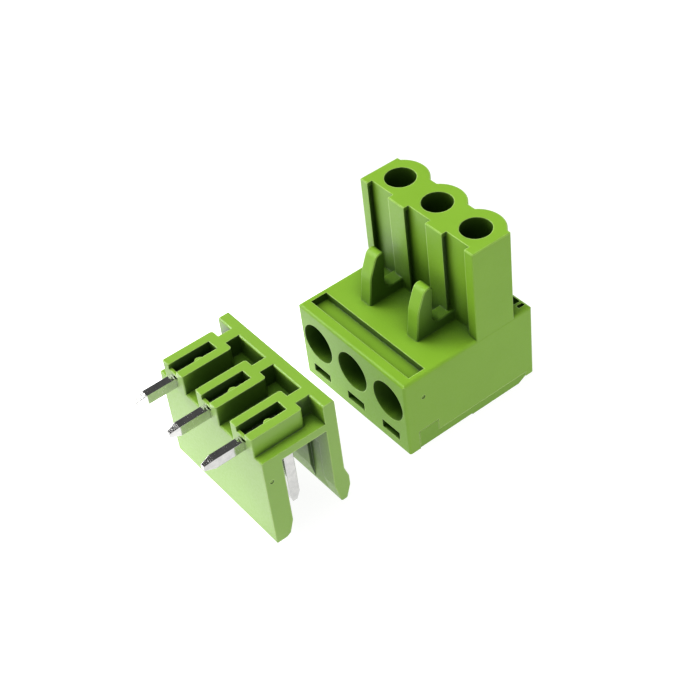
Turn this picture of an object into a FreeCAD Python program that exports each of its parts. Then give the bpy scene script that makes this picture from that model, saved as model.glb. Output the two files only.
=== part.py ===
import FreeCAD, Part
import math
import os

# Pluggable terminal block, three poles: a right-angle board header and the screw-clamp plug that
# belongs on it, unplugged and standing one behind the other on the table.
# X runs along the row of poles, +Y from the header to the plug, +Z up. Millimetres.
# The origin is under the middle of the pair, on the table.

# Poles
POLES = 3
PITCH = 5.08
END_MARGIN = 2.54
STAND_GAP = 7.10

# Plug housing, base block
PLUG_DEPTH = 15.0
BASE_HEIGHT = 8.46
PLUG_HEIGHT = 18.25
EDGE_ROUND = 0.3
CORNER_ROUND = 0.25
FOOT_ROUND = 0.1
REAR_WALL_LIFT = 0.38
MARKER_START = 1.1
MARKER_WIDTH = 1.75
MARKER_DEPTH = 0.75
MARKER_END_WALL = 0.62
REAR_GROOVE_START = 14.0
REAR_GROOVE_WIDTH = 0.7
REAR_WEB_WIDTH = 0.3
REAR_POCKET_LENGTH = 0.35

# Plug housing, socket tower
TOWER_FRONT = 8.48
TOWER_BACK = 12.88
TOWER_INSET = 0.03
TOWER_CORNER = 0.12
TOWER_EDGE = 0.08
SCALLOP_R = 2.71
SOCKET_Y = 11.14
SOCKET_BORE_R = 1.475
SOCKET_BORE_LENGTH = 2.5
CODING_WIDTH = 2.92
CODING_DEPTH = 0.57
CODING_UNDERCUT = 0.35
CODING_LIP = 0.2
CODING_TOP_WALL = 0.4

# Plug housing, latch hooks in front of the tower
HOOK_SPACING = 6.62
HOOK_WIDTH = 1.48
HOOK_FRONT = 4.53
HOOK_BACK = 6.8
HOOK_HEIGHT = 5.25
HOOK_LEAN = 0.43
HOOK_SHOULDER_DROP = 2.1
HOOK_SHOULDER_ROUND = 3.0
HOOK_CROWN = 0.97
HOOK_CROWN_ROUND = 0.7
HOOK_NOSE_ROUND = 0.4
HOOK_UNDERCUT = 0.4
HOOK_WEB_HEIGHT = 1.05
HOOK_WEB_ROUND = 0.9
HOOK_EDGE = 0.1

# Screw side of the plug
SCREW_Z = 5.09
ACCESS_BORE_R = 2.05
ACCESS_BORE_DEPTH = 2.4
LIP_BORE_R = 1.8
LIP_THICKNESS = 0.5
SCREW_R = 1.45
SCREW_CHAMFER = 0.3
SCREW_HEAD_R = 1.95
SCREW_HEAD_HEIGHT = 1.5
SCREW_CROWN = 0.15
SCREW_SLOT_WIDTH = 0.8
SCREW_SLOT_DEPTH = 0.9
HEAD_GAP = 0.05
TIP_GAP = 0.05
THREAD_GAP = 0.03

# Clamp chamber, cage and current bar
CHAMBER_WIDTH = 4.1
CHAMBER_TOP = 7.35
CHAMBER_BACK_GAP = 0.12
CAGE_GAP = 0.08
CAGE_HEIGHT = 4.3
CAGE_SIDE = 0.42
CAGE_THREAD_WALL = 1.5
CAGE_BACK_WALL = 0.8
CAGE_BAR_GAP = 0.1
CAGE_ROUND = 0.3
WIRE_GAP = 2.4
BAR_FRONT = 9.6
BAR_THICKNESS = 0.6
BAR_WIDTH = 2.9
TOOTH_DEPTH = 0.15
TOOTH_PITCH = 0.9

# Spring socket above the bar
CELL_WIDTH = 3.2
CELL_FRONT_GAP = 0.05
CELL_BACK = 12.75
SHELF_Z = 8.3
SHELF_THICKNESS = 0.5
SHELF_LENGTH = 2.2
ARM_THICKNESS = 0.4
ARM_DEPTH = 1.9
ARM_STRAIGHT = 1.8
ARM_BEND_R = 1.0
ARM_PINCH_R = 0.8
ARM_TIP_ROUND = 0.05
ARM_TOP_GAP = 0.05
CONTACT_GAP = 0.66
CONTACT_BELOW_TOP = 1.4

# Wire-entry frame
FRAME_FRONT = 1.24
FRAME_BACK = 14.05
FRAME_SEAM = 0.9
FRAME_FIT = 0.03
FRAME_STEP_Y = 7.4
FRAME_STEP = 0.12
FRAME_CHAMFER_Y = 13.1
FRAME_CHAMFER_HEIGHT = 0.5
FRAME_EDGE = 0.05
FRAME_HEEL_ROUND = 0.2
FUNNEL_TOP = 2.7
FUNNEL_WALL = 0.5
FUNNEL_LAP = 0.2
FUNNEL_SIDE_FIT = 0.05
FUNNEL_MOUTH_WIDTH = 3.7
FUNNEL_MOUTH_FRONT = 9.3
FUNNEL_MOUTH_BACK = 13.0
FUNNEL_THROAT_WIDTH = 2.8
WINDOW_WIDTH = 2.44
WINDOW_BOTTOM = 0.93
WINDOW_TOP = 1.87
TONGUE_THICKNESS = 0.6
TONGUE_HEIGHT = 1.5
TONGUE_ROUND = 0.15
TONGUE_FIT = 0.06
BARB_REACH = 0.55
BARB_RAMP = 0.3
TAB_LENGTH = 2.2
TAB_HEIGHT = 1.2

# Header housing, seen along its length: depth from the solder side to the plug side
HEADER_DEPTH = 7.79
HEADER_HEIGHT = 12.0
SOLDER_WALL = 1.94
LATCH_WALL = 1.19
LATCH_TOE = 0.12
FLOOR_TOP = 9.94
FLOOR_THICKNESS = 0.81
HEADER_EDGE = 0.1
HEADER_ROUND = 0.2
BOSS_WIDTH = 3.07
BOSS_DEPTH = 5.25
BOSS_ROUND = 0.3
NECK_WIDTH = 1.14
SLOT_WIDTH = 1.25
BRIDGE_THICKNESS = 0.3
BRIDGE_HEIGHT = 0.4
BRIDGE_GAP = 0.2
NIB_R = 0.45
NIB_REACH = 0.35
NIB_Y = 2.37
SCALLOP_FIT = 0.15
KEYWAY_WIDTH = 2.0
KEYWAY_DEPTH = 0.35
KEYWAY_TOP = 6.6
CATCH_REACH = 0.38
CATCH_Z = 1.94
CATCH_HALF_HEIGHT = 0.55
CATCH_ROUND = 0.5
CATCH_TOP = 3.7
LEAD_IN = 0.45
LATCH_LEAD_HEIGHT = 2.2
SOLDER_LEAD_HEIGHT = 1.6
MOUTH_EDGE = 0.25

# Header pins: the width is along the row, the thickness the way they bend
PIN_WIDTH = 0.8
PIN_THICKNESS = 1.0
PIN_AXIS_Y = 3.78
PIN_SEAT = 0.16
PIN_TIP_Z = 0.75
PIN_TIP_WIDTH = 0.45
PIN_TAPER = 1.0
LEG_REACH = 4.0
LEG_TAPER = 1.0
PIN_BEND_R = 0.6

# Gate marks left by moulding, one on the same end of each housing
GATE_R = 0.2
GATE_DEPTH = 0.06
PLUG_GATE_Y = 2.05
PLUG_GATE_Z = 5.96
HEADER_GATE_Y = 0.65
HEADER_GATE_Z = 7.36

# How far a cutter runs out past the face that it opens, and how far joined shapes bite into
# each other so that no skin is left between them
RUN_OUT = 1.0
BITE = 0.1
SAME = 1e-6

# Worked out from the sizes above
WIDTH = 2 * END_MARGIN + (POLES - 1) * PITCH
POLE_X = [(k - (POLES - 1) / 2) * PITCH for k in range(POLES)]
PAIR_LENGTH = LEG_REACH + HEADER_DEPTH + STAND_GAP + PLUG_DEPTH
PLUG_Y = PAIR_LENGTH / 2 - PLUG_DEPTH
HEADER_Y = LEG_REACH - PAIR_LENGTH / 2
BAR_BACK = BAR_FRONT + BAR_THICKNESS
HEAD_FRONT = ACCESS_BORE_DEPTH + LIP_THICKNESS + HEAD_GAP
HEAD_BACK = HEAD_FRONT + SCREW_HEAD_HEIGHT
CHAMBER_FRONT = ACCESS_BORE_DEPTH + LIP_THICKNESS
WINDOW_FRONT_Y = BAR_FRONT - CAGE_BAR_GAP
WINDOW_BACK_Y = BAR_BACK + WIRE_GAP
CAGE_FRONT = WINDOW_FRONT_Y - CAGE_THREAD_WALL
CAGE_BACK = WINDOW_BACK_Y + CAGE_BACK_WALL
CHAMBER_BACK = CAGE_BACK + CHAMBER_BACK_GAP
CAGE_WIDTH = CHAMBER_WIDTH - 2 * CAGE_GAP
CELL_TOP = PLUG_HEIGHT - SOCKET_BORE_LENGTH
SIDE_WALL = END_MARGIN - CHAMBER_WIDTH / 2
THROAT_FRONT = BAR_BACK - FUNNEL_LAP
CODING_FLOOR = TOWER_FRONT + CODING_DEPTH
FLOOR_BOTTOM = FLOOR_TOP - FLOOR_THICKNESS
SLOT_FLOOR = FLOOR_TOP + PIN_SEAT
PIN_FRONT = PIN_AXIS_Y - PIN_THICKNESS / 2
SLOT_END = PIN_AXIS_Y + PIN_THICKNESS / 2
PIN_TOP = SLOT_FLOOR + PIN_THICKNESS
LATCH_FACE = HEADER_DEPTH - LATCH_WALL

ALONG = FreeCAD.Vector(1, 0, 0)
INTO = FreeCAD.Vector(0, 1, 0)
UP = FreeCAD.Vector(0, 0, 1)


def point(x, y, z):
    return FreeCAD.Vector(x, y, z)


def block(x0, x1, y0, y1, z0, z1):
    return Part.makeBox(x1 - x0, y1 - y0, z1 - z0, point(x0, y0, z0))


def round_bar(radius, start, direction, length):
    return Part.makeCylinder(radius, length, start, direction)


def outline(corners, place):
    """A closed face through corners (a, b, radius), with place turning (a, b) into a point."""
    count = len(corners)
    ends = []
    arcs = []
    for i in range(count):
        here = place(corners[i][0], corners[i][1])
        before = place(corners[i - 1][0], corners[i - 1][1])
        after = place(corners[(i + 1) % count][0], corners[(i + 1) % count][1])
        radius = corners[i][2]
        if radius <= 0:
            ends.append((here, here))
            arcs.append(None)
            continue
        to_before = (before - here).normalize()
        to_after = (after - here).normalize()
        half = to_before.getAngle(to_after) / 2
        reach = radius / math.tan(half)
        inward = (to_before + to_after).normalize()
        centre = here + inward * (radius / math.sin(half))
        first = here + to_before * reach
        last = here + to_after * reach
        ends.append((first, last))
        arcs.append(Part.Arc(first, centre - inward * radius, last).toShape())
    edges = []
    for i in range(count):
        if arcs[i] is not None:
            edges.append(arcs[i])
        leave = ends[i][1]
        arrive = ends[(i + 1) % count][0]
        if leave.distanceToPoint(arrive) > SAME:
            edges.append(Part.LineSegment(leave, arrive).toShape())
    return Part.Face(Part.Wire(edges))


def side_profile(corners, x0, x1):
    """A (y, z) outline drawn out along the row of poles, from x0 to x1."""
    return outline(corners, lambda y, z: point(x0, y, z)).extrude(ALONG * (x1 - x0))


def plan_profile(corners, z0, z1):
    """An (x, y) outline drawn up from z0 to z1."""
    return outline(corners, lambda x, y: point(x, y, z0)).extrude(UP * (z1 - z0))


def end_profile(corners, y0, y1):
    """An (x, z) outline drawn out from y0 to y1."""
    return outline(corners, lambda x, z: point(x, y0, z)).extrude(INTO * (y1 - y0))


def frustum(lower, upper):
    """A tapered solid between two parallel rectangles, each given by its four corner points."""
    faces = [Part.Face(Part.makePolygon(ring + ring[:1])) for ring in (lower, upper)]
    for i in range(4):
        j = (i + 1) % 4
        faces.append(Part.Face(Part.makePolygon([lower[i], lower[j], upper[j], upper[i], lower[i]])))
    return Part.Solid(Part.Shell(faces))


def level_rectangle(x0, x1, y0, y1, z):
    return [point(x0, y0, z), point(x1, y0, z), point(x1, y1, z), point(x0, y1, z)]


def upright_rectangle(x0, x1, y, z0, z1):
    return [point(x0, y, z0), point(x1, y, z0), point(x1, y, z1), point(x0, y, z1)]


def with_bevelled_top(shape, top):
    """The same upright shape with a small bevel round its top face."""
    rim = [edge for edge in shape.Edges if all(abs(v.Z - top) < SAME for v in edge.Vertexes)]
    return shape.makeChamfer(TOWER_EDGE, rim)


def joined(first, others):
    return first.fuse(others).removeSplitter()


def plug_base():
    """The base block, its long edges and corners rounded as the mould leaves them."""
    half = WIDTH / 2
    along = side_profile([(0, 0, FOOT_ROUND), (PLUG_DEPTH, 0, FOOT_ROUND),
                          (PLUG_DEPTH, BASE_HEIGHT, EDGE_ROUND), (0, BASE_HEIGHT, EDGE_ROUND)],
                         -half, half)
    across = end_profile([(-half, 0, 0), (half, 0, 0), (half, BASE_HEIGHT, EDGE_ROUND),
                          (-half, BASE_HEIGHT, EDGE_ROUND)], 0, PLUG_DEPTH)
    plan = plan_profile([(-half, 0, CORNER_ROUND), (half, 0, CORNER_ROUND),
                         (half, PLUG_DEPTH, CORNER_ROUND), (-half, PLUG_DEPTH, CORNER_ROUND)],
                        0, BASE_HEIGHT)
    return along.common(across).common(plan)


def plug_tower():
    """The socket tower: a slab with one round lobe per pole, and coding slots down its front."""
    half = WIDTH / 2 - TOWER_INSET
    foot = BASE_HEIGHT - EDGE_ROUND * 2
    slabs = []
    for y0, y1 in ((TOWER_FRONT, TOWER_BACK), (TOWER_FRONT, PLUG_DEPTH)):
        slab = plan_profile([(-half, y0, TOWER_CORNER), (half, y0, TOWER_CORNER),
                             (half, y1, TOWER_CORNER), (-half, y1, TOWER_CORNER)], foot, PLUG_HEIGHT)
        slabs.append(with_bevelled_top(slab, PLUG_HEIGHT))
    lobes = []
    for x in POLE_X:
        lobe = round_bar(SCALLOP_R, point(x, SOCKET_Y, foot), UP, PLUG_HEIGHT - foot)
        lobes.append(with_bevelled_top(lobe, PLUG_HEIGHT).common(slabs[1]))
    tower = joined(slabs[0], lobes)
    for x in POLE_X:
        slot = CODING_WIDTH / 2
        tower = tower.cut(block(x - slot, x + slot, TOWER_FRONT - RUN_OUT, CODING_FLOOR,
                                BASE_HEIGHT, PLUG_HEIGHT + RUN_OUT))
        wide = slot + CODING_UNDERCUT
        tower = tower.cut(block(x - wide, x + wide, TOWER_FRONT + CODING_LIP, CODING_FLOOR,
                                BASE_HEIGHT, PLUG_HEIGHT - CODING_TOP_WALL))
    return tower


def latch_hook(x):
    """One hook: a leaning fin with a rounded nose, and a level web from its heel to the tower.
    Both flanks have a small bevel all the way along their edges."""
    top = BASE_HEIGHT + HOOK_HEIGHT
    web = BASE_HEIGHT + HOOK_WEB_HEIGHT
    sunk = BASE_HEIGHT - EDGE_ROUND
    corners = [
        (HOOK_FRONT, sunk, 0), (HOOK_FRONT + HOOK_LEAN, top - HOOK_SHOULDER_DROP, HOOK_SHOULDER_ROUND),
        (HOOK_BACK - HOOK_CROWN, top, HOOK_CROWN_ROUND), (HOOK_BACK, top, HOOK_NOSE_ROUND),
        (HOOK_BACK - HOOK_UNDERCUT, web, HOOK_WEB_ROUND),
        (CODING_FLOOR, web, 0), (CODING_FLOOR, sunk, 0),
    ]
    hook = side_profile(corners, x - HOOK_WIDTH / 2, x + HOOK_WIDTH / 2)
    rim = [edge for edge in hook.Edges
           if abs(edge.Vertexes[0].X - edge.Vertexes[1].X) < SAME
           and max(v.Z for v in edge.Vertexes) > sunk + SAME
           and min(v.Y for v in edge.Vertexes) < CODING_FLOOR - SAME]
    return hook.makeChamfer(HOOK_EDGE, rim)


def plug_housing():
    """The plug's moulded housing, in plug coordinates: y = 0 at the screw face."""
    half = WIDTH / 2
    hooks = [latch_hook(side * HOOK_SPACING / 2) for side in (-1, 1)]
    body = joined(plug_base(), [plug_tower()] + hooks)

    cuts = []
    groove = half - MARKER_END_WALL
    groove_floor = BASE_HEIGHT - MARKER_DEPTH
    cuts.append(block(-groove, groove, MARKER_START, MARKER_START + MARKER_WIDTH,
                      groove_floor, BASE_HEIGHT + RUN_OUT))
    rear_end = groove - REAR_POCKET_LENGTH - REAR_WEB_WIDTH
    rear_back = REAR_GROOVE_START + REAR_GROOVE_WIDTH
    for x0, x1 in ((-rear_end, rear_end), (groove - REAR_POCKET_LENGTH, groove),
                   (-groove, REAR_POCKET_LENGTH - groove)):
        cuts.append(block(x0, x1, REAR_GROOVE_START, rear_back, groove_floor, BASE_HEIGHT + RUN_OUT))

    # The frame's seat: open across the whole width below the seam, and a lifted rear wall.
    cuts.append(block(-half - RUN_OUT, half + RUN_OUT, FRAME_FRONT, FRAME_BACK, -RUN_OUT, FRAME_SEAM))
    cuts.append(block(-half - RUN_OUT, half + RUN_OUT, FRAME_BACK - BITE, PLUG_DEPTH + RUN_OUT,
                      -RUN_OUT, REAR_WALL_LIFT))
    for side in (-1, 1):
        inner = side * (half - SIDE_WALL)
        outer = side * (half + RUN_OUT)
        cuts.append(block(min(inner, outer), max(inner, outer), FRAME_FRONT,
                          FRAME_FRONT + TAB_LENGTH + 2 * FRAME_FIT, FRAME_SEAM - BITE,
                          FRAME_SEAM + TAB_HEIGHT + FRAME_FIT))

    for x in POLE_X:
        cuts.append(round_bar(ACCESS_BORE_R, point(x, -RUN_OUT, SCREW_Z), INTO,
                              RUN_OUT + ACCESS_BORE_DEPTH))
        cuts.append(round_bar(LIP_BORE_R, point(x, 0, SCREW_Z), INTO, CHAMBER_FRONT + BITE))
        reach = CHAMBER_WIDTH / 2
        cuts.append(block(x - reach, x + reach, CHAMBER_FRONT, CHAMBER_BACK,
                          FRAME_SEAM - BITE, CHAMBER_TOP))
        cell = CELL_WIDTH / 2
        cuts.append(block(x - cell, x + cell, BAR_FRONT - CELL_FRONT_GAP, CELL_BACK,
                          CHAMBER_TOP - BITE, CELL_TOP))
        cuts.append(round_bar(SOCKET_BORE_R, point(x, SOCKET_Y, CELL_TOP - BITE), UP,
                              SOCKET_BORE_LENGTH + RUN_OUT))
        window = WINDOW_WIDTH / 2
        cuts.append(block(x - window, x + window, -RUN_OUT, FRAME_FRONT + BITE,
                          WINDOW_BOTTOM, WINDOW_TOP))
        pocket = window + TONGUE_FIT
        cuts.append(block(x - pocket, x + pocket, FRAME_FRONT,
                          FRAME_FRONT + FRAME_FIT + TONGUE_THICKNESS + TONGUE_FIT,
                          FRAME_SEAM - BITE, FRAME_SEAM + TONGUE_HEIGHT + TONGUE_FIT))
    cuts.append(round_bar(GATE_R, point(half - GATE_DEPTH, PLUG_GATE_Y, PLUG_GATE_Z), ALONG, RUN_OUT))
    for cutter in cuts:
        body = body.cut(cutter)
    return body


def wire_entry_frame():
    """The frame that closes the housing from below: funnels, front latch tongues and side tabs."""
    half = WIDTH / 2
    front = FRAME_FRONT + FRAME_FIT
    back = FRAME_BACK - FRAME_FIT
    plate = side_profile([(front, FRAME_STEP, FRAME_EDGE), (FRAME_STEP_Y, FRAME_STEP, 0),
                          (FRAME_STEP_Y, 0, FRAME_EDGE), (FRAME_CHAMFER_Y, 0, FRAME_HEEL_ROUND),
                          (back, FRAME_CHAMFER_HEIGHT, FRAME_EDGE), (back, FRAME_SEAM, 0),
                          (front, FRAME_SEAM, 0)], -half, half)
    foot = FRAME_SEAM - BITE
    added = []
    for x in POLE_X:
        side = CHAMBER_WIDTH / 2 - FUNNEL_SIDE_FIT
        added.append(block(x - side, x + side, THROAT_FRONT - FUNNEL_WALL,
                           WINDOW_BACK_Y + FUNNEL_WALL, foot, FUNNEL_TOP))
        tongue = WINDOW_WIDTH / 2 - TONGUE_FIT
        lower = WINDOW_BOTTOM + TONGUE_FIT
        upper = WINDOW_TOP - TONGUE_FIT
        tip = front + TONGUE_THICKNESS
        barb = front - BARB_REACH
        added.append(side_profile([(front, foot, 0), (tip, foot, 0),
                                   (tip, FRAME_SEAM + TONGUE_HEIGHT, TONGUE_ROUND),
                                   (front, FRAME_SEAM + TONGUE_HEIGHT, TONGUE_ROUND),
                                   (front, upper, 0), (barb, lower + BARB_RAMP, 0),
                                   (barb, lower, 0), (front, lower, 0)],
                                  x - tongue, x + tongue))
    for side in (-1, 1):
        inner = side * (half - SIDE_WALL + FRAME_FIT)
        outer = side * half
        added.append(block(min(inner, outer), max(inner, outer), front, front + TAB_LENGTH,
                           foot, FRAME_SEAM + TAB_HEIGHT))
    frame = joined(plate, added)
    for x in POLE_X:
        mouth = FUNNEL_MOUTH_WIDTH / 2
        throat = FUNNEL_THROAT_WIDTH / 2
        lower = level_rectangle(x - mouth, x + mouth, FUNNEL_MOUTH_FRONT, FUNNEL_MOUTH_BACK, 0)
        upper = level_rectangle(x - throat, x + throat, THROAT_FRONT, WINDOW_BACK_Y, FUNNEL_TOP)
        frame = frame.cut(frustum(lower, upper))
    return frame


def contact(x):
    """Current bar and spring socket, bent from one strip: the bar, a shelf that stops the wire,
    and two arms that close on the header pin and flare at their tips."""
    side = BAR_WIDTH / 2
    shelf_top = SHELF_Z + SHELF_THICKNESS
    bar = block(x - side, x + side, BAR_FRONT, BAR_BACK, FUNNEL_TOP, shelf_top)
    shelf = block(x - side, x + side, BAR_FRONT, BAR_BACK + SHELF_LENGTH, SHELF_Z, shelf_top)
    tip = CELL_TOP - ARM_TOP_GAP
    pinch = CELL_TOP - CONTACT_BELOW_TOP
    bend = shelf_top + ARM_STRAIGHT
    inner = CONTACT_GAP / 2
    arms = []
    for hand in (-1, 1):
        arms.append(end_profile([(x + hand * side, SHELF_Z, 0), (x + hand * side, bend, ARM_BEND_R),
                                 (x + hand * (inner + ARM_THICKNESS), pinch,
                                  ARM_PINCH_R - ARM_THICKNESS),
                                 (x + hand * side, tip, ARM_TIP_ROUND),
                                 (x + hand * (side - ARM_THICKNESS), tip, ARM_TIP_ROUND),
                                 (x + hand * inner, pinch, ARM_PINCH_R),
                                 (x + hand * (side - ARM_THICKNESS), bend,
                                  ARM_BEND_R - ARM_THICKNESS),
                                 (x + hand * (side - ARM_THICKNESS), SHELF_Z, 0)],
                                SOCKET_Y - ARM_DEPTH / 2, SOCKET_Y + ARM_DEPTH / 2))
    return joined(bar, [shelf] + arms)


def clamp_cage(x):
    """The rising cage, shown open: a threaded wall towards the screw head, two thin sides and a
    toothed back wall that pulls the wire onto the bar."""
    half = CAGE_WIDTH / 2
    low = SCREW_Z - CAGE_HEIGHT / 2
    high = SCREW_Z + CAGE_HEIGHT / 2
    cage = plan_profile([(x - half, CAGE_FRONT, CAGE_ROUND), (x + half, CAGE_FRONT, CAGE_ROUND),
                         (x + half, CAGE_BACK, CAGE_ROUND), (x - half, CAGE_BACK, CAGE_ROUND)],
                        low, high)
    inner = half - CAGE_SIDE
    cage = cage.cut(block(x - inner, x + inner, WINDOW_FRONT_Y, WINDOW_BACK_Y,
                          low - RUN_OUT, high + RUN_OUT))
    cage = cage.cut(round_bar(SCREW_R + THREAD_GAP, point(x, CAGE_FRONT - RUN_OUT, SCREW_Z), INTO,
                              RUN_OUT + CAGE_THREAD_WALL + BITE))
    teeth = int((CAGE_HEIGHT - TOOTH_PITCH) / TOOTH_PITCH)
    for k in range(teeth):
        z = SCREW_Z + (k - (teeth - 1) / 2) * TOOTH_PITCH
        groove = [(WINDOW_BACK_Y - BITE, z - TOOTH_DEPTH - BITE, 0),
                  (WINDOW_BACK_Y + TOOTH_DEPTH, z, 0),
                  (WINDOW_BACK_Y - BITE, z + TOOTH_DEPTH + BITE, 0)]
        cage = cage.cut(side_profile(groove, x - inner, x + inner))
    return cage


def clamp_screw(x):
    """Slotted clamp screw: crowned head, shank and chamfered tip turned in one, its thread plain."""
    tip = BAR_FRONT - TIP_GAP
    half_outline = [(0, HEAD_FRONT), (SCREW_HEAD_R - SCREW_CROWN, HEAD_FRONT),
                    (SCREW_HEAD_R, HEAD_FRONT + SCREW_CROWN), (SCREW_HEAD_R, HEAD_BACK),
                    (SCREW_R, HEAD_BACK), (SCREW_R, tip - SCREW_CHAMFER),
                    (SCREW_R - SCREW_CHAMFER, tip), (0, tip)]
    corners = [point(x + r, y, SCREW_Z) for r, y in half_outline]
    face = Part.Face(Part.makePolygon(corners + corners[:1]))
    screw = face.revolve(point(x, 0, SCREW_Z), INTO, 360)
    slot = SCREW_SLOT_WIDTH / 2
    return screw.cut(block(x - SCREW_HEAD_R, x + SCREW_HEAD_R, HEAD_FRONT - RUN_OUT,
                           HEAD_FRONT + SCREW_SLOT_DEPTH, SCREW_Z - slot, SCREW_Z + slot))


def header_shell():
    """The header's outline from the side: solder wall, floor and latch wall with its catch."""
    half = WIDTH / 2
    catch_out = HEADER_DEPTH + CATCH_REACH
    return side_profile([
        (0, 0, HEADER_EDGE), (0, FLOOR_TOP, HEADER_EDGE), (LATCH_FACE, FLOOR_TOP, 0),
        (LATCH_FACE, HEADER_HEIGHT, HEADER_ROUND), (HEADER_DEPTH, HEADER_HEIGHT, HEADER_ROUND),
        (HEADER_DEPTH, CATCH_TOP, CATCH_ROUND), (catch_out, CATCH_Z + CATCH_HALF_HEIGHT, CATCH_ROUND),
        (catch_out, CATCH_Z - CATCH_HALF_HEIGHT, CATCH_ROUND),
        (HEADER_DEPTH - LATCH_TOE, 0, HEADER_ROUND), (LATCH_FACE + LEAD_IN, 0, HEADER_ROUND),
        (LATCH_FACE, LATCH_LEAD_HEIGHT, CATCH_ROUND), (LATCH_FACE, FLOOR_BOTTOM, HEADER_EDGE),
        (SOLDER_WALL, FLOOR_BOTTOM, HEADER_EDGE), (SOLDER_WALL, SOLDER_LEAD_HEIGHT, CATCH_ROUND),
        (SOLDER_WALL - LEAD_IN, MOUTH_EDGE, HEADER_ROUND),
        (SOLDER_WALL - 2 * LEAD_IN, 0, HEADER_ROUND),
    ], -half, half)


def header_housing():
    """The header's moulded housing, in header coordinates: y = 0 at the solder side."""
    added = []
    for x in POLE_X:
        boss = BOSS_WIDTH / 2
        added.append(plan_profile([(x - boss, 0, HEADER_EDGE), (x + boss, 0, HEADER_EDGE),
                                   (x + boss, BOSS_DEPTH, BOSS_ROUND),
                                   (x - boss, BOSS_DEPTH, BOSS_ROUND)],
                                  FLOOR_TOP - BITE, HEADER_HEIGHT))
        neck = NECK_WIDTH / 2
        added.append(block(x - neck, x + neck, BOSS_DEPTH - BITE, LATCH_FACE + HEADER_ROUND,
                           FLOOR_TOP - BITE, HEADER_HEIGHT))
    body = joined(header_shell(), added)

    pin = PIN_WIDTH / 2
    slot = SLOT_WIDTH / 2
    key = KEYWAY_WIDTH / 2
    inside = BRIDGE_THICKNESS + BITE
    for x in POLE_X:
        # The slot that the leg lies in, open at the top, with a bridge over the leg at its mouth.
        cuts = [block(x - slot, x + slot, BRIDGE_THICKNESS, SLOT_END,
                      SLOT_FLOOR, HEADER_HEIGHT + RUN_OUT),
                block(x - slot, x + slot, -RUN_OUT, inside,
                      PIN_TOP + BRIDGE_HEIGHT, HEADER_HEIGHT + RUN_OUT),
                block(x - pin, x + pin, -RUN_OUT, inside, SLOT_FLOOR, PIN_TOP),
                block(x, x + slot, -RUN_OUT, inside, PIN_TOP - BITE, PIN_TOP + BRIDGE_GAP),
                block(x - pin, x + pin, PIN_FRONT, SLOT_END,
                      FLOOR_BOTTOM - RUN_OUT, SLOT_FLOOR + BITE)]
        for cutter in cuts:
            body = body.cut(cutter)
        nib = round_bar(NIB_R, point(x + slot + NIB_R - NIB_REACH, NIB_Y, PIN_TOP), UP,
                        HEADER_HEIGHT - HEADER_EDGE - PIN_TOP)
        body = joined(body, [nib])
        body = body.cut(round_bar(SCALLOP_R + SCALLOP_FIT, point(x, PIN_AXIS_Y, -RUN_OUT), UP,
                                  FLOOR_BOTTOM + RUN_OUT))
        body = body.cut(block(x - key, x + key, LATCH_FACE - BITE, LATCH_FACE + KEYWAY_DEPTH,
                              -RUN_OUT, KEYWAY_TOP))
    return body.cut(round_bar(GATE_R, point(WIDTH / 2 - GATE_DEPTH, HEADER_GATE_Y, HEADER_GATE_Z),
                              ALONG, RUN_OUT))


def header_pin(x):
    """A bent pin: solder leg out of the header's side, mating leg down into its mouth."""
    x0 = x - PIN_WIDTH / 2
    x1 = x + PIN_WIDTH / 2
    leg_start = LEG_TAPER - LEG_REACH
    tip_start = PIN_TIP_Z + PIN_TAPER
    bend = side_profile([(leg_start, SLOT_FLOOR, 0), (PIN_FRONT, SLOT_FLOOR, 0),
                         (PIN_FRONT, tip_start, 0), (SLOT_END, tip_start, 0),
                         (SLOT_END, PIN_TOP, PIN_BEND_R), (leg_start, PIN_TOP, 0)], x0, x1)
    small = PIN_TIP_WIDTH / 2
    mating_tip = frustum(level_rectangle(x - small, x + small, PIN_AXIS_Y - small,
                                         PIN_AXIS_Y + small, PIN_TIP_Z),
                         level_rectangle(x0, x1, PIN_FRONT, SLOT_END, tip_start))
    middle = (SLOT_FLOOR + PIN_TOP) / 2
    solder_tip = frustum(upright_rectangle(x - small, x + small, -LEG_REACH,
                                           middle - small, middle + small),
                         upright_rectangle(x0, x1, leg_start, SLOT_FLOOR, PIN_TOP))
    return joined(bend, [mating_tip, solder_tip])


def save(name, shape, y):
    """Set a finished piece in its place along the pair and write it as its own node."""
    placed = shape.copy()
    placed.translate(INTO * y)
    solids = placed.Solids
    assert len(solids) == 1 and placed.isValid(), name
    solids[0].exportStep("parts/" + name + ".step")
    print(name, round(solids[0].Volume, 3))


os.makedirs("parts", exist_ok=True)
save("plug_housing", plug_housing(), PLUG_Y)
save("wire_entry_frame", wire_entry_frame(), PLUG_Y)
save("header_housing", header_housing(), HEADER_Y)
for number, pole_x in enumerate(POLE_X, 1):
    save("contact_%d" % number, contact(pole_x), PLUG_Y)
    save("clamp_cage_%d" % number, clamp_cage(pole_x), PLUG_Y)
    save("clamp_screw_%d" % number, clamp_screw(pole_x), PLUG_Y)
    save("header_pin_%d" % number, header_pin(pole_x), HEADER_Y)
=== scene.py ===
import bpy
from mathutils import Matrix, Vector

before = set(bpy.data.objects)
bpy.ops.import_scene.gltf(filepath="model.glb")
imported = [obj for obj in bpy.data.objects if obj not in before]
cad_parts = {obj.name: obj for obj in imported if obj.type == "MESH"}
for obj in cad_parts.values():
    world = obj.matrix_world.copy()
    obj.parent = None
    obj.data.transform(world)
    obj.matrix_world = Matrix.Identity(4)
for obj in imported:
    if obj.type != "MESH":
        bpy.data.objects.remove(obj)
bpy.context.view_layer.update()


# Table and studio light. The pair stands on a light table of opal acrylic, whose glow lights the
# housings' sides from below. One soft box stands on the left and one hangs overhead, and two weak
# ones on the right and at the back leave the hooks' flanks and the slots dim; their deeper green
# is painted shade in the housings' material.
MM = 0.001
scene = bpy.context.scene


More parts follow.
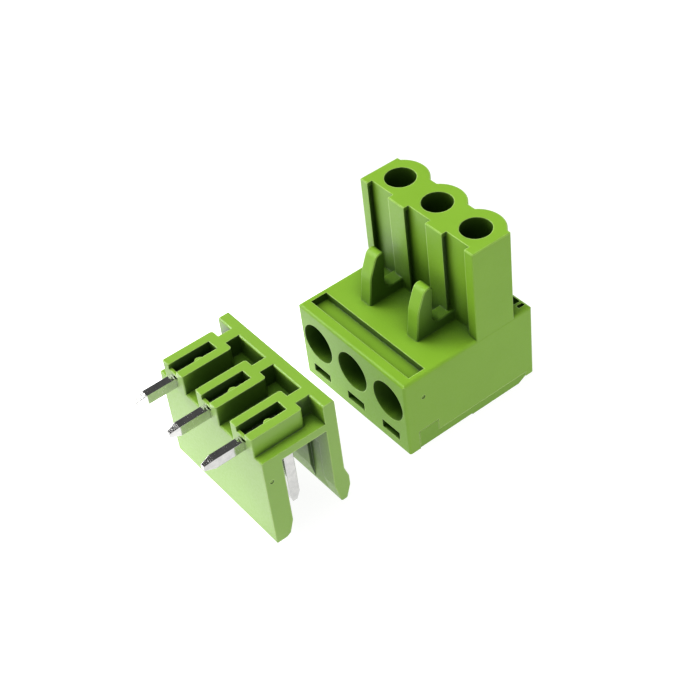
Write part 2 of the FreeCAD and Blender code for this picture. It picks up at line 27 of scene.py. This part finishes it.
def linear(hex_colour):
    """The linear RGBA of an sRGB hex colour."""
    channels = [int(hex_colour[i:i + 2], 16) / 255 for i in (1, 3, 5)]
    return [c / 12.92 if c <= 0.04045 else ((c + 0.055) / 1.055) ** 2.4 for c in channels] + [1.0]


def add_node(owner, kind, sockets=None, **settings):
    """Add a node to a material or world: set its properties, then its inputs by value or link."""
    made = owner.node_tree.nodes.new("ShaderNode" + kind)
    for name, value in settings.items():
        setattr(made, name, value)
    for name, value in (sockets or {}).items():
        if isinstance(value, bpy.types.NodeSocket):
            owner.node_tree.links.new(value, made.inputs[name])
        else:
            made.inputs[name].default_value = value
    return made


def new_material(name):
    """A material with an empty node tree."""
    material = bpy.data.materials.new(name)
    material.use_nodes = True
    material.node_tree.nodes.clear()
    return material


TABLE_HALF = 3.0
TABLE_GLOW = 0.94
table_mesh = bpy.data.meshes.new("table_top")
table_mesh.from_pydata([(-TABLE_HALF, -TABLE_HALF, 0), (TABLE_HALF, -TABLE_HALF, 0),
                        (TABLE_HALF, TABLE_HALF, 0), (-TABLE_HALF, TABLE_HALF, 0)], [], [(0, 1, 2, 3)])
table = bpy.data.objects.new("table_top", table_mesh)
scene.collection.objects.link(table)

# Opal acrylic over lamps: the glow is strongest over two of them, left and in front of the header.
white_table = new_material("opal_light_table")
on_table = add_node(white_table, "TexCoord").outputs["Object"]


def lamp_under(x, y, half_length, half_width, strength, glow):
    """Add an oval lamp, placed and sized in millimetres, to the glow of the table."""
    nearby = add_node(white_table, "Mapping", {
        "Vector": on_table, "Location": (-x / half_length, -y / half_width, 0),
        "Scale": (1 / (half_length * MM), 1 / (half_width * MM), 1)})
    away = add_node(white_table, "VectorMath", {0: nearby.outputs["Vector"]}, operation="LENGTH")
    bright = add_node(white_table, "MapRange", {
        "Value": away.outputs["Value"], "From Min": 0.8, "From Max": 1.8,
        "To Min": strength, "To Max": 0.0}, interpolation_type="SMOOTHSTEP")
    return add_node(white_table, "Math", {0: bright.outputs["Result"], 1: glow},
                    operation="ADD").outputs["Value"]


glow = lamp_under(-20, -1, 12, 11, 1.0, TABLE_GLOW)
glow = lamp_under(-3, -17, 10, 4.5, 0.8, glow)
table_shade = add_node(white_table, "BsdfPrincipled", {
    "Base Color": linear("#5C5C5A"), "Roughness": 0.6,
    "Emission Color": linear("#FFFFFF"), "Emission Strength": glow})
add_node(white_table, "OutputMaterial", {"Surface": table_shade.outputs["BSDF"]})
table_mesh.materials.append(white_table)

TARGET = Vector((0, 1.9 * MM, 7 * MM))


def soft_box(name, towards, distance, width, height, brightness):
    """A white rectangular light that looks at the pair from the given side; sizes in metres."""
    light = bpy.data.lights.new(name, "AREA")
    light.shape = "RECTANGLE"
    light.size = width
    light.size_y = height
    light.energy = brightness * 3.1416 * width * height
    box = bpy.data.objects.new(name, light)
    side = Vector(towards).normalized()
    box.location = TARGET + side * distance
    box.rotation_euler = side.to_track_quat("Z", "Y").to_euler()
    scene.collection.objects.link(box)
    return box


soft_box("key_left", (-0.80, -0.42, 0.52), 0.50, 0.30, 0.30, 6.3)
overhead = soft_box("overhead", (-0.10, -0.10, 1.0), 0.55, 0.32, 0.32, 8.5)
# Left out of reflections, so that the tinned legs look slate from above too, as in the photograph.
overhead.visible_glossy = False
soft_box("right_front", (0.75, -0.60, 0.25), 0.50, 0.30, 0.30, 0.8)
soft_box("back_right", (0.20, 0.90, 0.35), 0.50, 0.40, 0.30, 0.8)

# The room: a pale wall all round, dark above, so that the tinned legs mirror a dark ceiling.
scene.view_settings.view_transform = "Standard"
WALL_GLOW = 1.0
CEILING_GLOW = 0.10
world = bpy.data.worlds.new("studio")
scene.world = world
world.use_nodes = True
seen = add_node(world, "TexCoord")
height = add_node(world, "SeparateXYZ", {"Vector": seen.outputs["Generated"]})
room = add_node(world, "MapRange", {"Value": height.outputs["Z"], "From Min": 0.10, "From Max": 0.55,
                                    "To Min": WALL_GLOW, "To Max": CEILING_GLOW})
background = world.node_tree.nodes["Background"]
background.inputs["Color"].default_value = linear("#FFFFFF")
world.node_tree.links.new(room.outputs["Result"], background.inputs["Strength"])

# The photograph's camera, about 14 cm away and looking down on the pair from its solder side.
camera = bpy.data.objects.new("camera", bpy.data.cameras.new("camera"))
to_right = Vector((0.6159, 0.7816, -0.0988))
to_top = Vector((-0.4935, 0.4805, 0.7249))
looking = Vector((-0.6140, 0.3978, -0.6817))
turn = Matrix((to_right, to_top, -looking)).transposed().to_4x4()
camera.matrix_world = Matrix.Translation(Vector((85.78, -53.565, 102.99)) * MM) @ turn
camera.data.lens = 80.6
camera.data.sensor_width = 36
camera.data.clip_start = 0.01
scene.collection.objects.link(camera)
scene.camera = camera


# Housings: the plug, the header and the plug's wire-entry frame, all injection moulded in green
# PA66. The moulds are spark eroded, so faces are satin; edges come out softly rounded and catch
# the light, and the flow of the melt leaves faint clouds in the colour.
def green_polyamide(name, light_hex, deep_hex, gloss, shine, open_sky):
    """Moulded PA66 in two greens. shine is its specular level, and a place that sees more of the
    sky than open_sky, from 0 to 1, gets no painted shade."""
    m = new_material(name)
    place = add_node(m, "TexCoord").outputs["Object"]
    flow_cloud = 4.5 * MM
    clouds = add_node(m, "TexNoise", {"Vector": place, "Scale": 1 / flow_cloud, "Detail": 3.0,
                                      "Roughness": 0.55})
    body = add_node(m, "MixRGB", {"Fac": clouds.outputs["Fac"], "Color1": linear(deep_hex),
                                  "Color2": linear(light_hex)})

    # The edge radius that the mould leaves: it bends the light on every sharp edge of the solid.
    # Outer edges are also painted paler: a painted highlight mixed into the colour.
    edge_radius = 0.16 * MM
    rounded = add_node(m, "Bevel", {"Radius": edge_radius}, samples=6)
    flat = add_node(m, "NewGeometry")
    along = add_node(m, "VectorMath", {0: rounded.outputs["Normal"], 1: flat.outputs["Normal"]},
                     operation="DOT_PRODUCT")
    edge = add_node(m, "MapRange", {"Value": along.outputs["Value"], "From Min": 1.0,
                                    "From Max": 0.88, "To Min": 0.0, "To Max": 0.85})
    corner_reach = 0.5 * MM
    corner = add_node(m, "AmbientOcclusion", {"Distance": corner_reach}, samples=8)
    outer = add_node(m, "MapRange", {"Value": corner.outputs["AO"], "From Min": 0.80,
                                     "From Max": 0.97})
    # Painted highlight: a pale green mixed in where the rounded normal turns away on outer edges.
    painted_edge_highlight = add_node(m, "Math", {0: edge.outputs["Result"], 1: outer.outputs["Result"]},
                    operation="MULTIPLY")
    body_with_painted_highlight = add_node(m, "MixRGB", {"Fac": painted_edge_highlight.outputs["Value"], "Color1": body.outputs["Color"],
                                   "Color2": linear("#B2D674")})

    # Slots and inner corners are painted a deeper green: painted shade, mixed in where ambient
    # occlusion finds the solid sheltered.
    slot_reach = 7 * MM
    hollow = add_node(m, "AmbientOcclusion", {"Distance": slot_reach}, samples=12, only_local=True)
    # Flanks that face along the row of poles, such as the hooks', get the darkest painted shade.
    painted_flank_shade = 0.17
    facing = add_node(m, "SeparateXYZ", {"Vector": flat.outputs["Normal"]})
    flank = add_node(m, "Math", {0: facing.outputs["X"]}, operation="ABSOLUTE")
    shelter = add_node(m, "Math", {0: flank.outputs["Value"], 1: -painted_flank_shade,
                                   2: hollow.outputs["AO"]}, operation="MULTIPLY_ADD")
    # Painted shade: a dark green mixed into the colour where the solid is sheltered.
    painted_shade = add_node(m, "MapRange", {"Value": shelter.outputs["Value"], "From Min": 0.38,
                                    "From Max": open_sky, "To Min": 0.92, "To Max": 0.0})
    colour = add_node(m, "MixRGB", {"Fac": painted_shade.outputs["Result"], "Color1": body_with_painted_highlight.outputs["Color"],
                                    "Color2": linear("#1F3C09")})

    # The eroded grain is about 0.03 mm, too fine to show, so it is drawn at 0.22 mm.
    drawn_grain = 0.22 * MM
    grain = add_node(m, "TexNoise", {"Vector": place, "Scale": 1 / drawn_grain, "Detail": 2.0})
    satin = add_node(m, "MapRange", {"Value": grain.outputs["Fac"], "From Min": 0.3,
                                     "From Max": 0.7, "To Min": gloss - 0.05, "To Max": gloss + 0.07})
    relief = add_node(m, "Bump", {"Height": grain.outputs["Fac"], "Strength": 0.3,
                                  "Distance": 0.002 * MM, "Normal": rounded.outputs["Normal"]})
    shade = add_node(m, "BsdfPrincipled", {
        "Base Color": colour.outputs["Color"], "Roughness": satin.outputs["Result"], "IOR": 1.53,
        "Specular IOR Level": shine, "Normal": relief.outputs["Normal"]})
    add_node(m, "OutputMaterial", {"Surface": shade.outputs["BSDF"]})
    return m


def dress(node, material):
    """Give a piece from the drawing its real finish."""
    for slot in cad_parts[node].material_slots:
        slot.material = material


dress("plug_housing",
      green_polyamide("moulded_PA66_green_plug", "#7EAB2E", "#76A126", 0.42, 0.32, 0.82))
dress("wire_entry_frame",
      green_polyamide("moulded_PA66_green_frame", "#75A226", "#6D991E", 0.45, 0.30, 0.85))
dress("header_housing",
      green_polyamide("moulded_PA66_green_header", "#80AC34", "#78A22C", 0.38, 0.72, 0.62))


# Header pins and plug contacts: brass drawn to a flat bar or stamped from strip, then hot tinned.
# The tin flows as it sets, so the mirror of it is a little wavy, with dull clouds where it is thick.
def hot_tinned_brass(name, tint, wave_mm):
    """Tin over brass: a bright grey mirror, gently wavy, with duller clouds and scuffs."""
    m = new_material(name)
    place = add_node(m, "TexCoord").outputs["Object"]
    waves = add_node(m, "TexNoise", {"Vector": place, "Scale": 1 / (wave_mm * MM), "Detail": 3.0,
                                     "Roughness": 0.6})
    thick_patch = 0.9 * MM
    clouds = add_node(m, "TexNoise", {"Vector": place, "Scale": 1 / thick_patch, "Detail": 4.0,
                                      "Roughness": 0.65})
    tin = add_node(m, "MixRGB", {"Fac": clouds.outputs["Fac"], "Color1": linear("#B4B5B5"),
                                 "Color2": linear(tint)})
    dull = add_node(m, "MapRange", {"Value": clouds.outputs["Fac"], "From Min": 0.3,
                                    "From Max": 0.7, "To Min": 0.07, "To Max": 0.14})
    # Scuffs from handling are about 0.1 mm across and drawn at 0.16 mm: they scatter every lamp.
    drawn_scuff = 0.16 * MM
    scuffs = add_node(m, "TexNoise", {"Vector": place, "Scale": 1 / drawn_scuff, "Detail": 2.0})
    scuffed = add_node(m, "MapRange", {"Value": scuffs.outputs["Fac"], "From Min": 0.62,
                                       "From Max": 0.74, "To Min": 0.0, "To Max": 0.25})
    rough = add_node(m, "Math", {0: dull.outputs["Result"], 1: scuffed.outputs["Result"]},
                     operation="ADD")
    edge_radius = 0.06 * MM
    rounded = add_node(m, "Bevel", {"Radius": edge_radius}, samples=6)
    relief = add_node(m, "Bump", {"Height": waves.outputs["Fac"], "Strength": 0.5,
                                  "Distance": 0.012 * MM, "Normal": rounded.outputs["Normal"]})
    shade = add_node(m, "BsdfPrincipled", {
        "Base Color": tin.outputs["Color"], "Metallic": 1.0, "Roughness": rough.outputs["Value"],
        "Normal": relief.outputs["Normal"]})
    add_node(m, "OutputMaterial", {"Surface": shade.outputs["BSDF"]})
    return m


pin_tin = hot_tinned_brass("hot_tinned_brass_pin", "#EDECE8", 0.35)
contact_tin = hot_tinned_brass("hot_tinned_brass_contact", "#DAD8CC", 0.6)
for number in (1, 2, 3):
    dress("header_pin_%d" % number, pin_tin)
    dress("contact_%d" % number, contact_tin)


# Clamp cages and screws: steel, the cages stamped and folded, the screws turned and threaded,
# all plated with bright zinc that has a faint blue cast.
def zinc_plated_steel(name, turned):
    """Bright zinc on steel, with the thread of the screws or the shearing lines of the cages."""
    m = new_material(name)
    place = add_node(m, "TexCoord").outputs["Object"]
    zinc_patch = 0.8 * MM
    cloud = add_node(m, "TexNoise", {"Vector": place, "Scale": 1 / zinc_patch, "Detail": 3.0})
    zinc = add_node(m, "MixRGB", {"Fac": cloud.outputs["Fac"], "Color1": linear("#A9AEB6"),
                                  "Color2": linear("#CDD1D6")})
    # Thread of 0.5 mm pitch on the screws, shearing lines of about 0.12 mm on the cages. A wave
    # texture of scale 1 repeats every 0.314 units.
    line_pitch = 0.5 * MM if turned else 0.12 * MM
    lines = add_node(m, "TexWave", {"Vector": place, "Scale": 0.314 / line_pitch,
                                    "Distortion": 0.0 if turned else 2.0},
                     wave_type="BANDS", bands_direction="Y")
    relief = add_node(m, "Bump", {"Height": lines.outputs["Fac"], "Strength": 0.6 if turned else 0.2,
                                  "Distance": (0.12 if turned else 0.01) * MM})
    shade = add_node(m, "BsdfPrincipled", {
        "Base Color": zinc.outputs["Color"], "Metallic": 1.0, "Roughness": 0.28,
        "Normal": relief.outputs["Normal"]})
    add_node(m, "OutputMaterial", {"Surface": shade.outputs["BSDF"]})
    return m


cage_zinc = zinc_plated_steel("zinc_plated_steel_stamped", False)
screw_zinc = zinc_plated_steel("zinc_plated_steel_turned", True)
for number in (1, 2, 3):
    dress("clamp_cage_%d" % number, cage_zinc)
    dress("clamp_screw_%d" % number, screw_zinc)
